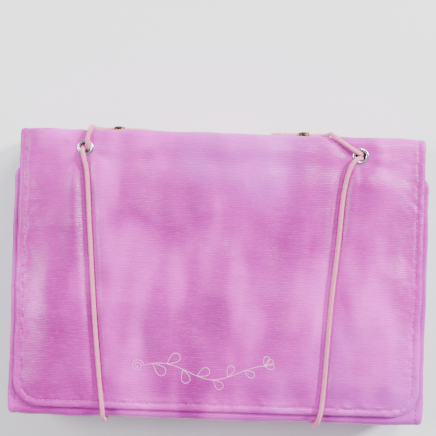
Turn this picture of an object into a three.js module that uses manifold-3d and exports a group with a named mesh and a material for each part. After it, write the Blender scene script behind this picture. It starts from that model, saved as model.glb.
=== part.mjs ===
// Roll-up makeup bag, folded shut and lying on its back.
//
// Three cloth panels are joined by two folds: the back panel lies on the table, the front panel folds
// over it from the bottom fold, and the flap closes over both from the top fold. Each panel and fold is
// an outer skin with a lining. Four zipped mesh pouches hang on hook-and-loop strips inside, two on the
// back panel and two face down under the front panel. Two elastic loops leave eyelets in the flap, run
// round the whole bag, and take up their slack in a two-hole toggle on the top fold.
//
// Millimetres. X runs along the width, +Y points to the top fold, +Z points out of the flap. The origin
// is the centre of the resting face.

import * as THREE from 'three';
import { mergeVertices } from 'three/addons/utils/BufferGeometryUtils.js';
import Module from 'manifold-3d';

const wasm = await Module();
wasm.setup();

// ---- driving dimensions ------------------------------------------------------------------------------
const GAP = 0.3;
const PANEL_WIDTH = 275;
const FLAP_WIDTH = 268;
const BAG_HEIGHT = 190;
const OUTER_THICK = 1.0;
const LINING_THICK = 0.8;
const LOOP_THICK = 1.2;
const UNDER_ROOM = 5.2;
const MARGIN_INNER = 112;
const RAMP_TOP = 101;
const POUCH_DEEP = 13;
const BETWEEN_POUCHES = 8;
const FLAP_LIFT = 0.6;
const FOLD_CORNER = 3.5;
const PANEL_END = 90.4;
const LINING_END = 90;
const LINING_INSET = 1.5;
const BACK_LOOP_ENDS = [-86, 86];
const FRONT_LOOP_ENDS = [-86, 66];
const FRONT_TIP = 72;
const FLAP_TIP = -89;
const FLAP_RADIUS = 18;
const FRONT_RADIUS = 10;
const EYELET_X = 91;
const EYELET_Y = 83;
const EYELET_HOLE = 3.45;
const EYELET_BARREL = 4.05;
const EYELET_FLANGE = 5.4;
const EYELET_SLEEVE_DEEP = 4.0;
const EYELET_SHEET = 0.5;
const WASHER_OVERHANG = 0.3;
const RING_SIDES = 24;
const CORD_RADIUS = 1.5;
const CORD_SIDES = 8;
const CORD_STEPS = 80;
const TOGGLE_SIZE = [7, 4.7, 21];
const TOGGLE_HOLE = 1.95;
const TOGGLE_Z = 21;
const TOGGLE_HOLE_PITCH = 12;
const TOGGLE_CORNER = 2.5;
const TOGGLE_X = { left: -71.5, right: 55.2 };

const POUCH_LENGTH = 232;
const POUCH_WIDTH = 76;
const POUCH_WALL = 0.8;
const POUCH_RADIUS = 10;
const ZIP_OFFSET = 24;
const ZIP_SLOT = [224, 7];
const TAPE_SIZE = [244, 26, 0.6];
const TAPE_SLOT = [236.6, 4.6];
const CHAIN_SIZE = [236, 4, 1.7];
const SLIDER_LENGTH = 11;
const SLIDER_WIDTH = 9;
const SLIDER_X = -113.5;
const PIVOT_X = -120.5;
const PIN_RADIUS = 0.45;
const PULL_BARREL = 1.3;
const PULL_EYE = 0.8;
const PULL_LENGTH = 15;
const PULL_WIDTH = 5;
const TAB_WIDTH = 24;
const TAB_THICK = 0.6;
const TAB_BEND = 124.2;
const TAB_END = 139;
const HOOK_SPAN = [125, 138];
const LOOP_SPAN = [117, 136];
const SLIDER_PLATE = 1;
const EAR_THICK = 0.8;
const EAR_REACH = 1.1;
const PULL_THICK = 1;
const PULL_GRIP = 9;
const PULL_NECK = 2.4;

// ---- heights of the stack ----------------------------------------------------------------------------
const backSkin = UNDER_ROOM + OUTER_THICK / 2;
const backLining = UNDER_ROOM + OUTER_THICK + GAP;
const backLoop = backLining + LINING_THICK + GAP;
const lowerPouch = backLoop + LOOP_THICK + GAP;
const upperPouch = lowerPouch + 2 * POUCH_DEEP + BETWEEN_POUCHES;
const frontLoop = upperPouch + GAP;
const frontLining = frontLoop + LOOP_THICK + GAP;
const frontOuter = frontLining + LINING_THICK + GAP;
const frontSkin = frontOuter + OUTER_THICK / 2;
const flapLining = frontOuter + OUTER_THICK + FLAP_LIFT;
const flapOuter = flapLining + LINING_THICK + GAP;
const flapSkin = flapOuter + OUTER_THICK / 2;
const foldY = BAG_HEIGHT / 2 - OUTER_THICK / 2;

// Each pouch's letter, its middle in Y, the height of its panel side, and whether its zip faces down.
const POUCH_PLACES = [
  ['a', 42, lowerPouch, false],
  ['b', -46, lowerPouch, false],
  ['c', -50, upperPouch, true],
  ['d', 30, upperPouch, true],
];

// ---- colours and finishes ----------------------------------------------------------------------------
const satin = { color: 0xc574ba, roughness: 0.42, metalness: 0 };
const plum = { color: 0xa8559f, roughness: 0.55, metalness: 0 };
const lavenderMesh = { color: 0xb9a0dc, roughness: 0.7, metalness: 0 };
const lavenderTape = { color: 0xcdaaeb, roughness: 0.8, metalness: 0 };
const velvetLoop = { color: 0xbda2dd, roughness: 0.95, metalness: 0 };
const blackCoil = { color: 0x17100f, roughness: 0.45, metalness: 0 };
const silver = { color: 0xc9c9cc, roughness: 0.22, metalness: 1 };
const pinkElastic = { color: 0xf3bfd8, roughness: 0.75, metalness: 0 };
const bronze = { color: 0x6b4a2c, roughness: 0.35, metalness: 0.9 };

const group = new THREE.Group();

function addMesh(parent, name, geometry, finish) {
  const mesh = new THREE.Mesh(geometry, new THREE.MeshStandardMaterial(finish));
  mesh.name = name;
  parent.add(mesh);
  return mesh;
}

// ---- shape helpers -----------------------------------------------------------------------------------
function toSolid(geometry) {
  const bare = geometry.clone();
  bare.deleteAttribute('normal');
  bare.deleteAttribute('uv');
  const merged = mergeVertices(bare, 1e-4);
  return new wasm.Manifold(new wasm.Mesh({
    numProp: 3,
    vertProperties: new Float32Array(merged.attributes.position.array),
    triVerts: new Uint32Array(merged.index.array),
  }));
}

function toGeometry(solid) {
  const mesh = solid.getMesh();
  const geometry = new THREE.BufferGeometry();
  geometry.setAttribute('position', new THREE.BufferAttribute(mesh.vertProperties, 3));
  geometry.setIndex(new THREE.BufferAttribute(mesh.triVerts, 1));
  geometry.computeVertexNormals();
  return geometry;
}

function join(first, ...others) {
  return toGeometry(others.reduce((solid, other) => solid.add(toSolid(other)), toSolid(first)));
}

function cut(first, ...tools) {
  return toGeometry(tools.reduce((solid, tool) => solid.subtract(toSolid(tool)), toSolid(first)));
}

function block(x0, x1, y0, y1, z0, z1) {
  const geometry = new THREE.BoxGeometry(x1 - x0, y1 - y0, z1 - z0);
  return geometry.translate((x0 + x1) / 2, (y0 + y1) / 2, (z0 + z1) / 2);
}

function rod(radius, length, sides, axis) {
  const geometry = new THREE.CylinderGeometry(radius, radius, length, sides);
  if (axis === 'x') geometry.rotateZ(Math.PI / 2);
  if (axis === 'z') geometry.rotateX(Math.PI / 2);
  return geometry;
}

// A rectangle whose two low-y corners have one radius and whose two high-y corners have another.
function roundedPlan(x0, x1, y0, y1, lowRadius, highRadius) {
  const shape = new THREE.Shape();
  const corner = (x, y, radius, from) => {
    if (radius > 0) shape.absarc(x, y, radius, from, from + Math.PI / 2, false);
    else shape.lineTo(x, y);
  };
  shape.moveTo(x0 + lowRadius, y0);
  corner(x1 - lowRadius, y0 + lowRadius, lowRadius, -Math.PI / 2);
  corner(x1 - highRadius, y1 - highRadius, highRadius, 0);
  corner(x0 + highRadius, y1 - highRadius, highRadius, Math.PI / 2);
  corner(x0 + lowRadius, y0 + lowRadius, lowRadius, Math.PI);
  shape.closePath();
  return shape;
}

function slab(shape, z, thickness) {
  const options = { depth: thickness, bevelEnabled: false, curveSegments: 4 };
  return new THREE.ExtrudeGeometry(shape, options).translate(0, 0, z);
}

function washer(inner, outer, z, thickness) {
  const profile = [[inner, 0], [outer, 0], [outer, thickness], [inner, thickness], [inner, 0]];
  const ring = new THREE.LatheGeometry(profile.map(([r, h]) => new THREE.Vector2(r, h)), RING_SIDES);
  return ring.rotateX(Math.PI / 2).translate(0, 0, z);
}

// The closed outline of a line of points given a thickness, half on each side.
function thickLine(points, thickness) {
  const sides = [[], []];
  points.forEach(([a, b], i) => {
    const before = points[Math.max(i - 1, 0)];
    const after = points[Math.min(i + 1, points.length - 1)];
    const into = new THREE.Vector2(a - before[0], b - before[1]).normalize();
    const out = new THREE.Vector2(after[0] - a, after[1] - b).normalize();
    const along = into.clone().add(out).normalize();
    const reach = thickness / 2 / Math.max(along.dot(i ? into : out), 0.5);
    sides[0].push(new THREE.Vector2(a + along.y * reach, b - along.x * reach));
    sides[1].unshift(new THREE.Vector2(a - along.y * reach, b + along.x * reach));
  });
  return new THREE.Shape([...sides[0], ...sides[1]]);
}

function basis(xAxis, yAxis, zAxis) {
  const vectors = [xAxis, yAxis, zAxis].map((v) => new THREE.Vector3(...v));
  return new THREE.Matrix4().makeBasis(...vectors);
}

// A section drawn in Y and Z, run along X and centred on it.
function alongX(shape, width) {
  const geometry = new THREE.ExtrudeGeometry(shape, { depth: width, bevelEnabled: false });
  return geometry.translate(0, 0, -width / 2).applyMatrix4(basis([0, 1, 0], [0, 0, 1], [1, 0, 0]));
}

// A section drawn in X and Z, run along Y and centred on it.
function alongY(shape, length) {
  const geometry = new THREE.ExtrudeGeometry(shape, { depth: length, bevelEnabled: false });
  return geometry.translate(0, 0, -length / 2).applyMatrix4(basis([1, 0, 0], [0, 0, 1], [0, -1, 0]));
}

// ---- panels and folds --------------------------------------------------------------------------------
function addBackPanel() {
  const half = PANEL_WIDTH / 2;
  const low = OUTER_THICK / 2;
  const section = [
    [-half, low], [-MARGIN_INNER, low], [-RAMP_TOP, backSkin],
    [RAMP_TOP, backSkin], [MARGIN_INNER, low], [half, low],
  ];
  const lining = block(-FLAP_WIDTH / 2, FLAP_WIDTH / 2, -LINING_END, LINING_END, backLining,
    backLining + LINING_THICK);
  addMesh(group, 'back_panel_outer', alongY(thickLine(section, OUTER_THICK), 2 * PANEL_END), satin);
  addMesh(group, 'back_panel_lining', lining, plum);
}

function addFold(name, side, topSkin, width) {
  const inner = foldY - OUTER_THICK / 2 - GAP - LINING_THICK / 2;
  const start = FOLD_CORNER - 0.2;
  const section = [
    [side * (foldY - start), backSkin + 0.2], [side * foldY, backSkin + FOLD_CORNER],
    [side * foldY, topSkin - FOLD_CORNER], [side * (foldY - start), topSkin - 0.2],
  ];
  const lining = [
    [side * inner, backSkin + FOLD_CORNER + 0.5],
    [side * inner, topSkin - FOLD_CORNER - 0.5],
  ];
  const turn = (points) => (side > 0 ? points : [...points].reverse());
  const liningWidth = width - 2 * LINING_THICK;
  addMesh(group, `${name}_outer`, alongX(thickLine(turn(section), OUTER_THICK), width), satin);
  addMesh(group, `${name}_lining`, alongX(thickLine(turn(lining), LINING_THICK), liningWidth), plum);
}

function addFrontPanel() {
  const half = PANEL_WIDTH / 2;
  const outer = roundedPlan(-half, half, -PANEL_END, FRONT_TIP, 0, FRONT_RADIUS);
  const inset = half - LINING_THICK * 2;
  const lining = roundedPlan(-inset, inset, -LINING_END, FRONT_TIP - 2, 0, FRONT_RADIUS);
  addMesh(group, 'front_panel_outer', slab(outer, frontOuter, OUTER_THICK), satin);
  addMesh(group, 'front_panel_lining', slab(lining, frontLining, LINING_THICK), plum);
}

function eyeletHoles(z) {
  return [-1, 1].map((side) => {
    const hole = rod(EYELET_BARREL + GAP, 6, RING_SIDES, 'z');
    return hole.translate(side * EYELET_X, EYELET_Y, z);
  });
}

function addFlap() {
  const half = FLAP_WIDTH / 2;
  const outer = roundedPlan(-half, half, FLAP_TIP, PANEL_END, FLAP_RADIUS, 0);
  const inset = half - LINING_INSET;
  const tip = FLAP_TIP + LINING_INSET;
  const lining = roundedPlan(-inset, inset, tip, LINING_END, FLAP_RADIUS - LINING_INSET, 0);
  const outerSlab = slab(outer, flapOuter, OUTER_THICK);
  const liningSlab = slab(lining, flapLining, LINING_THICK);
  addMesh(group, 'flap_outer', cut(outerSlab, ...eyeletHoles(flapOuter)), satin);
  addMesh(group, 'flap_lining', cut(liningSlab, ...eyeletHoles(flapLining)), plum);
}

// An eyelet's flange sits on the flap and its barrel passes through both layers into its washer.
function addEyelet(side, word) {
  const top = flapOuter + OUTER_THICK + GAP;
  const low = top + EYELET_SHEET - EYELET_SLEEVE_DEEP;
  const washerZ = flapLining - GAP - EYELET_SHEET;
  const washerOuter = EYELET_FLANGE + WASHER_OVERHANG;
  const flange = washer(EYELET_HOLE, EYELET_FLANGE, top, EYELET_SHEET);
  const barrel = washer(EYELET_HOLE, EYELET_BARREL, low, EYELET_SLEEVE_DEEP);
  const eyelet = join(flange, barrel).translate(side * EYELET_X, EYELET_Y, 0);
  const back = washer(EYELET_BARREL + GAP, washerOuter, washerZ, EYELET_SHEET);
  addMesh(group, `eyelet_${word}`, eyelet, silver);
  addMesh(group, `eyelet_washer_${word}`, back.translate(side * EYELET_X, EYELET_Y, 0), silver);
}

function addLoopStrip(name, side, [y0, y1], z) {
  const [near, far] = LOOP_SPAN;
  const ends = [side * near, side * far].sort((a, b) => a - b);
  addMesh(group, name, block(ends[0], ends[1], y0, y1, z, z + LOOP_THICK), velvetLoop);
}

// ---- elastic cords -----------------------------------------------------------------------------------
// Each route starts over the eyelet, goes over the top edge, through the toggle and back, under the bag,
// round the bottom fold and up the flap to the eyelet.
const leftRoute = [
  [-90.6, 84.9, 52.4], [-89.4, 90.0, 52.0], [-88.2, 94.4, 50.8], [-87.5, 97.0, 47.4],
  [-87.2, 97.5, 41.0], [-87.1, 97.6, 35.0], [-85.6, 97.65, 29.6], [-81.0, 97.65, 27.2],
  [-75.0, 97.65, 27.0], [-62.0, 97.65, 27.0], [-55.0, 97.65, 26.6], [-50.2, 97.65, 21.0],
  [-55.0, 97.65, 15.4], [-62.0, 97.65, 15.0], [-75.0, 97.65, 15.0], [-81.0, 97.65, 14.6],
  [-85.4, 97.6, 11.6], [-86.6, 96.4, 6.6], [-86.7, 92.4, 3.7], [-86.4, 84.0, 3.4],
  [-84.0, 40.0, 3.4], [-80.0, -10.0, 3.4], [-76.0, -55.0, 3.4], [-74.4, -84.0, 3.4],
  [-74.0, -92.4, 3.7], [-73.8, -96.4, 7.0], [-73.6, -97.4, 14.0], [-73.5, -97.4, 27.0],
  [-73.5, -97.4, 39.0], [-73.7, -96.8, 45.6], [-74.0, -93.6, 50.6], [-74.4, -88.0, 52.2],
  [-75.6, -80.0, 51.6], [-81.3, -29.0, 51.6], [-86.0, 26.4, 51.6], [-89.2, 70.0, 51.6],
  [-90.6, 77.0, 52.2], [-91.2, 81.1, 52.4],
];
const rightRoute = [
  [90.0, 84.9, 52.4], [82.0, 89.6, 52.0], [74.6, 94.4, 50.8], [71.6, 97.0, 47.4],
  [70.9, 97.5, 41.0], [70.8, 97.6, 35.0], [69.3, 97.65, 29.6], [64.7, 97.65, 27.2],
  [58.7, 97.65, 27.0], [45.7, 97.65, 27.0], [38.7, 97.65, 26.6], [33.9, 97.65, 21.0],
  [38.7, 97.65, 15.4], [45.7, 97.65, 15.0], [58.7, 97.65, 15.0], [64.7, 97.65, 14.6],
  [69.1, 97.6, 11.6], [70.3, 96.4, 6.6], [70.4, 92.4, 3.7], [70.2, 84.0, 3.4],
  [69.4, 40.0, 3.4], [68.0, -10.0, 3.4], [66.8, -55.0, 3.4], [66.2, -84.0, 3.4],
  [66.0, -92.4, 3.7], [65.9, -96.4, 7.0], [65.8, -97.4, 14.0], [65.8, -97.4, 27.0],
  [66.0, -97.4, 39.0], [66.6, -96.8, 45.6], [67.8, -93.6, 50.6], [69.2, -88.0, 52.2],
  [70.4, -80.0, 51.6], [74.4, -13.0, 51.6], [77.8, 25.6, 51.6], [80.2, 59.3, 51.6],
  [84.0, 75.0, 52.2], [89.4, 81.1, 52.4],
];

function addCord(name, route) {
  const path = new THREE.CatmullRomCurve3(route.map((p) => new THREE.Vector3(...p)));
  const ring = Array.from({ length: CORD_SIDES }, (_, i) => {
    const angle = ((i + 0.5) / CORD_SIDES) * 2 * Math.PI;
    return new THREE.Vector2(Math.cos(angle) * CORD_RADIUS, Math.sin(angle) * CORD_RADIUS);
  });
  const options = { steps: CORD_STEPS, extrudePath: path, bevelEnabled: false };
  addMesh(group, name, new THREE.ExtrudeGeometry(new THREE.Shape(ring), options), pinkElastic);
}

function addToggle(name, x) {
  const [width, deep, tall] = TOGGLE_SIZE;
  const front = BAG_HEIGHT / 2 + GAP;
  const bar = roundedPlan(-width / 2, width / 2, -tall / 2, tall / 2, TOGGLE_CORNER, TOGGLE_CORNER);
  const body = new THREE.ExtrudeGeometry(bar, { depth: deep, bevelEnabled: false, curveSegments: 4 });
  body.applyMatrix4(basis([1, 0, 0], [0, 0, 1], [0, -1, 0])).translate(x, front + deep, TOGGLE_Z);
  const holes = [-0.5, 0.5].map((share) => {
    const hole = rod(TOGGLE_HOLE, width + 2, 12, 'x');
    return hole.translate(x, front + deep / 2, TOGGLE_Z + share * TOGGLE_HOLE_PITCH);
  });
  addMesh(group, name, cut(body, ...holes), bronze);
}

// ---- pouches -----------------------------------------------------------------------------------------
// Each pouch is made in its own frame: its panel side at z = 0, its zip side facing +z.
const zipTop = POUCH_DEEP + GAP;

function pouchShell() {
  const halfX = POUCH_LENGTH / 2;
  const halfY = POUCH_WIDTH / 2;
  const plan = (inset) => roundedPlan(-halfX + inset, halfX - inset, -halfY + inset, halfY - inset,
    POUCH_RADIUS - inset, POUCH_RADIUS - inset);
  const [slotX, slotY] = ZIP_SLOT.map((size) => size / 2);
  const inside = slab(plan(POUCH_WALL), POUCH_WALL, POUCH_DEEP - 2 * POUCH_WALL);
  const slot = block(-slotX, slotX, ZIP_OFFSET - slotY, ZIP_OFFSET + slotY, POUCH_DEEP - 3, POUCH_DEEP + 1);
  return cut(slab(plan(0), 0, POUCH_DEEP), inside, slot);
}

function zipTape() {
  const [halfX, halfY] = TAPE_SIZE.map((size) => size / 2);
  const [slotX, slotY] = TAPE_SLOT.map((size) => size / 2);
  const plan = roundedPlan(-halfX, halfX, -halfY, halfY, 1, 1);
  const tape = slab(plan, zipTop, TAPE_SIZE[2]);
  return cut(tape, block(-slotX, slotX, -slotY, slotY, zipTop - 1, zipTop + 2)).translate(0, ZIP_OFFSET, 0);
}

function zipChain() {
  const [halfX, halfY] = CHAIN_SIZE.map((size) => size / 2);
  return block(-halfX, halfX, ZIP_OFFSET - halfY, ZIP_OFFSET + halfY, zipTop, zipTop + CHAIN_SIZE[2]);
}

// The slider straddles the chain and carries the pull's pin between two ears at its outer end.
const sliderTop = zipTop + CHAIN_SIZE[2] + GAP + SLIDER_PLATE;
const pinHeight = sliderTop + GAP + PULL_BARREL;

function zipSlider() {
  const low = zipTop + TAPE_SIZE[2] + GAP;
  const start = SLIDER_X - SLIDER_LENGTH / 2;
  const end = SLIDER_X + SLIDER_LENGTH / 2;
  const inner = CHAIN_SIZE[1] / 2 + GAP;
  const outer = SLIDER_WIDTH / 2;
  const earInner = PULL_BARREL + 0.7;
  const cheeks = [-1, 1].flatMap((side) => {
    const flange = [side * inner, side * outer].sort((a, b) => a - b);
    const ear = [side * earInner, side * (earInner + EAR_THICK)].sort((a, b) => a - b);
    return [
      block(start, end, flange[0], flange[1], low, sliderTop - SLIDER_PLATE / 2),
      block(PIVOT_X - EAR_REACH, start + 3, ear[0], ear[1], sliderTop - SLIDER_PLATE / 2,
        pinHeight + EAR_REACH),
    ];
  });
  const plate = block(start, end, -outer, outer, sliderTop - SLIDER_PLATE, sliderTop);
  const pin = rod(PIN_RADIUS, 2 * earInner + 1, 8, 'y').translate(PIVOT_X, 0, pinHeight);
  return join(plate, ...cheeks, pin).translate(0, ZIP_OFFSET, 0);
}

function zipPull() {
  const barrel = rod(PULL_BARREL, 3, 16, 'y').translate(PIVOT_X, 0, pinHeight);
  const reach = PIVOT_X - PULL_LENGTH;
  const low = pinHeight - PULL_THICK / 2;
  const neckEnd = PIVOT_X - PULL_EYE - 0.2;
  const neck = block(reach + PULL_GRIP - 1, neckEnd, -PULL_NECK / 2, PULL_NECK / 2, low, low + PULL_THICK);
  const plan = roundedPlan(reach, reach + PULL_GRIP, -PULL_WIDTH / 2, PULL_WIDTH / 2, 1.5, 1.5);
  const grip = slab(plan, low, PULL_THICK);
  const eye = rod(PULL_EYE, 8, 12, 'y').translate(PIVOT_X, 0, pinHeight);
  return cut(join(barrel, neck, grip), eye).translate(0, ZIP_OFFSET, 0);
}

// A tab leaves the end of the zip tape, drops to the panel and runs out to the hook patch's far edge.
function endTab(side) {
  const tapeEnd = TAPE_SIZE[0] / 2 + GAP;
  const high = zipTop + TAB_THICK / 2;
  const low = LOOP_THICK + GAP + TAB_THICK / 2;
  const line = [[tapeEnd, high], [TAB_BEND, high], [TAB_BEND, low], [TAB_END, low]];
  const section = line.map(([x, z]) => [side * x, z]);
  const shape = thickLine(side > 0 ? section : section.reverse(), TAB_THICK);
  return alongY(shape, TAB_WIDTH).translate(0, ZIP_OFFSET, 0);
}

function hookPatch(side) {
  const ends = HOOK_SPAN.map((x) => side * x).sort((a, b) => a - b);
  const half = TAB_WIDTH / 2 - 1;
  return block(ends[0], ends[1], ZIP_OFFSET - half, ZIP_OFFSET + half, 0, LOOP_THICK);
}

function addPouch(letter, y, z, faceDown) {
  const frame = new THREE.Group();
  frame.position.set(0, y, z);
  frame.rotation.x = faceDown ? Math.PI : 0;
  group.add(frame);
  addMesh(frame, `pouch_${letter}`, pouchShell(), lavenderMesh);
  addMesh(frame, `zip_tape_${letter}`, zipTape(), lavenderTape);
  addMesh(frame, `zip_chain_${letter}`, zipChain(), blackCoil);
  addMesh(frame, `zip_slider_${letter}`, zipSlider(), silver);
  addMesh(frame, `zip_pull_${letter}`, zipPull(), silver);
  for (const [side, word] of [[-1, 'left'], [1, 'right']]) {
    addMesh(frame, `tab_${letter}_${word}`, endTab(side), lavenderTape);
    addMesh(frame, `hook_${letter}_${word}`, hookPatch(side), velvetLoop);
  }
}

// ---- assembly ----------------------------------------------------------------------------------------
addBackPanel();
addFold('top_fold', 1, flapSkin, FLAP_WIDTH);
addFold('bottom_fold', -1, frontSkin, PANEL_WIDTH);
addFrontPanel();
addFlap();
for (const [side, word] of [[-1, 'left'], [1, 'right']]) {
  addEyelet(side, word);
  addLoopStrip(`back_loop_${word}`, side, BACK_LOOP_ENDS, backLoop);
  addLoopStrip(`front_loop_${word}`, side, FRONT_LOOP_ENDS, frontLoop);
}
addCord('elastic_cord_left', leftRoute);
addCord('elastic_cord_right', rightRoute);
addToggle('cord_toggle_left', TOGGLE_X.left);
addToggle('cord_toggle_right', TOGGLE_X.right);
for (const [letter, y, z, faceDown] of POUCH_PLACES) {
  addPouch(letter, y, z, faceDown);
}

export default group;
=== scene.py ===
import math

import bmesh
import bpy
import numpy as np
from mathutils import Matrix, Vector, kdtree, noise


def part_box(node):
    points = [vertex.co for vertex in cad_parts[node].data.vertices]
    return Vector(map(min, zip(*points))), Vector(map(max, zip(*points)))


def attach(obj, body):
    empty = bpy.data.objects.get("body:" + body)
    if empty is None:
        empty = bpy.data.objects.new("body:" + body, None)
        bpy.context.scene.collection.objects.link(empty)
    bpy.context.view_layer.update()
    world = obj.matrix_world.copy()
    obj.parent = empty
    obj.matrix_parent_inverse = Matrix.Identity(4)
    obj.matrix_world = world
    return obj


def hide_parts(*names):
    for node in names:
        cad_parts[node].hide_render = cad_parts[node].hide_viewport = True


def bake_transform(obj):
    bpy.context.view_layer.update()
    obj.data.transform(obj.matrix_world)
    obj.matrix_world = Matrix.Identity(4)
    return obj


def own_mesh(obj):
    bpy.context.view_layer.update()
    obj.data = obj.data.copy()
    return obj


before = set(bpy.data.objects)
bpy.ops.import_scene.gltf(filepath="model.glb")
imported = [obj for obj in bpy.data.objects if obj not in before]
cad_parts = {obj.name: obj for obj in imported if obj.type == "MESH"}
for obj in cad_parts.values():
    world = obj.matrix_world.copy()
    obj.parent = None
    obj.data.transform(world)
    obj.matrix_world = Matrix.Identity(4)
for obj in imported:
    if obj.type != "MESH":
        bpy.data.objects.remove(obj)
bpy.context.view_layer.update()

# Roll-up makeup bag, folded shut and lying on its back. All sizes are metres. X runs along the width,
# +Y points to the top fold and +Z points out of the flap.

# ---- sizes -------------------------------------------------------------------------------------------
PANEL_HALF = 0.1375
FLAP_HALF = 0.134
FOLD_FACE = 0.095
BACK_FACE = 0.0052
FLAP_FACE = 0.0497
FRONT_FACE = 0.0470
FOLD_RADIUS = 0.005
FLAP_TIP = -0.089
FRONT_TIP = 0.072
FLAP_CORNER = 0.018
FRONT_CORNER = 0.010
SATIN_THICK = 0.0010
LINING_THICK = 0.0008
TOP_MIDDLE = 0.02745
BOTTOM_MIDDLE = 0.0261
SEAM_INSET = 0.0045
GROOVE_SHIFT = 0.0019
STITCH_PITCH = 0.0030
EYELETS = [(-0.091, 0.083), (0.091, 0.083)]
EYELET_SEAT = 0.0500
EYELET_HOLE = 0.0043
CORD_DIAMETER = 0.0030
TOGGLE_HOLES = (-0.006, 0.006)
TOGGLE_CENTRES = [(-0.0715, 0.09765, 0.021), (0.0552, 0.09765, 0.021)]

# ---- cord routes -------------------------------------------------------------------------------------
# Out of the eyelet, over the top edge, through the toggle and back, under the bag, round the bottom fold
# and up the flap to the same eyelet.
LEFT_ROUTE = [
    (-0.0895, 0.0819, 0.0474), (-0.0895, 0.0833, 0.0495), (-0.0896, 0.0852, 0.0513),
    (-0.0895, 0.0875, 0.0520), (-0.0892, 0.0905, 0.0519), (-0.0882, 0.0944, 0.0508),
    (-0.0875, 0.0970, 0.0474), (-0.0872, 0.0975, 0.0410), (-0.0871, 0.0976, 0.0350),
    (-0.0856, 0.09765, 0.0296), (-0.0810, 0.09765, 0.0272), (-0.0750, 0.09765, 0.0270),
    (-0.0620, 0.09765, 0.0270), (-0.0550, 0.09765, 0.0266), (-0.0502, 0.09765, 0.0210),
    (-0.0550, 0.09765, 0.0154), (-0.0620, 0.09765, 0.0150), (-0.0750, 0.09765, 0.0150),
    (-0.0810, 0.09765, 0.0146), (-0.0854, 0.0976, 0.0116), (-0.0866, 0.0964, 0.0066),
    (-0.0867, 0.0924, 0.0037), (-0.0864, 0.0840, 0.0034), (-0.0840, 0.0400, 0.0034),
    (-0.0800, -0.0100, 0.0034), (-0.0760, -0.0550, 0.0034), (-0.0744, -0.0840, 0.0034),
    (-0.0740, -0.0924, 0.0037), (-0.0738, -0.0964, 0.0070), (-0.0736, -0.0974, 0.0140),
    (-0.0735, -0.0974, 0.0270), (-0.0735, -0.0974, 0.0390), (-0.0737, -0.0968, 0.0456),
    (-0.0740, -0.0936, 0.0506), (-0.0744, -0.0880, 0.0522), (-0.0756, -0.0800, 0.0516),
    (-0.0813, -0.0290, 0.0516), (-0.0860, 0.0264, 0.0516), (-0.0897, 0.0690, 0.0516),
    (-0.0911, 0.0745, 0.0521), (-0.0922, 0.0788, 0.0521), (-0.0925, 0.0808, 0.0513),
    (-0.0925, 0.0827, 0.0495), (-0.0925, 0.0841, 0.0474),
]
RIGHT_ROUTE = [
    (0.0924, 0.0843, 0.0474), (0.0910, 0.0845, 0.0495), (0.0890, 0.0850, 0.0513),
    (0.0868, 0.0862, 0.0520), (0.0820, 0.0893, 0.0520), (0.0746, 0.0944, 0.0508),
    (0.0716, 0.0970, 0.0474), (0.0709, 0.0975, 0.0410), (0.0708, 0.0976, 0.0350),
    (0.0693, 0.09765, 0.0296), (0.0647, 0.09765, 0.0272), (0.0587, 0.09765, 0.0270),
    (0.0457, 0.09765, 0.0270), (0.0387, 0.09765, 0.0266), (0.0339, 0.09765, 0.0210),
    (0.0387, 0.09765, 0.0154), (0.0457, 0.09765, 0.0150), (0.0587, 0.09765, 0.0150),
    (0.0647, 0.09765, 0.0146), (0.0691, 0.0976, 0.0116), (0.0703, 0.0964, 0.0066),
    (0.0704, 0.0924, 0.0037), (0.0702, 0.0840, 0.0034), (0.0694, 0.0400, 0.0034),
    (0.0680, -0.0100, 0.0034), (0.0668, -0.0550, 0.0034), (0.0662, -0.0840, 0.0034),
    (0.0660, -0.0924, 0.0037), (0.0659, -0.0964, 0.0070), (0.0658, -0.0974, 0.0140),
    (0.0658, -0.0974, 0.0270), (0.0660, -0.0974, 0.0390), (0.0666, -0.0968, 0.0456),
    (0.0678, -0.0936, 0.0506), (0.0692, -0.0880, 0.0522), (0.0704, -0.0800, 0.0516),
    (0.0744, -0.0130, 0.0516), (0.0778, 0.0256, 0.0516), (0.0806, 0.0600, 0.0516),
    (0.0838, 0.0740, 0.0521), (0.0866, 0.0790, 0.0521), (0.0888, 0.0809, 0.0513),
    (0.0910, 0.0815, 0.0495), (0.0924, 0.0817, 0.0474),
]


def smooth_route(points, step=0.0012):
    """Even steps along a smooth curve through the points."""
    knots = [Vector(p) for p in points]
    knots = [2 * knots[0] - knots[1]] + knots + [2 * knots[-1] - knots[-2]]
    fine = []
    for before, start, end, after in zip(knots, knots[1:], knots[2:], knots[3:]):
        lead = ((start - before).length, (end - start).length, (after - end).length)
        reach = [max(length, 1e-6) ** 0.5 for length in lead]
        t0, t1 = 0.0, reach[0]
        t2, t3 = t1 + reach[1], t1 + reach[1] + reach[2]
        for k in range(24):
            t = t1 + (t2 - t1) * k / 24
            a1 = before.lerp(start, (t - t0) / (t1 - t0))
            a2 = start.lerp(end, (t - t1) / (t2 - t1))
            a3 = end.lerp(after, (t - t2) / (t3 - t2))
            b1 = a1.lerp(a2, (t - t0) / (t2 - t0))
            b2 = a2.lerp(a3, (t - t1) / (t3 - t1))
            fine.append(b1.lerp(b2, (t - t1) / (t2 - t1)))
    fine.append(knots[-2])
    return even_steps(fine, step)


def even_steps(points, step):
    """The same line cut into equal steps."""
    places = np.array([tuple(p) for p in points])
    gone = np.concatenate([[0], np.cumsum(np.linalg.norm(np.diff(places, axis=0), axis=1))])
    count = max(2, round(gone[-1] / step))
    marks = np.linspace(0, gone[-1], count + 1)
    return np.stack([np.interp(marks, gone, places[:, k]) for k in range(3)], axis=1)


CORD_LINES = [smooth_route(LEFT_ROUTE), smooth_route(RIGHT_ROUTE)]


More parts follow.
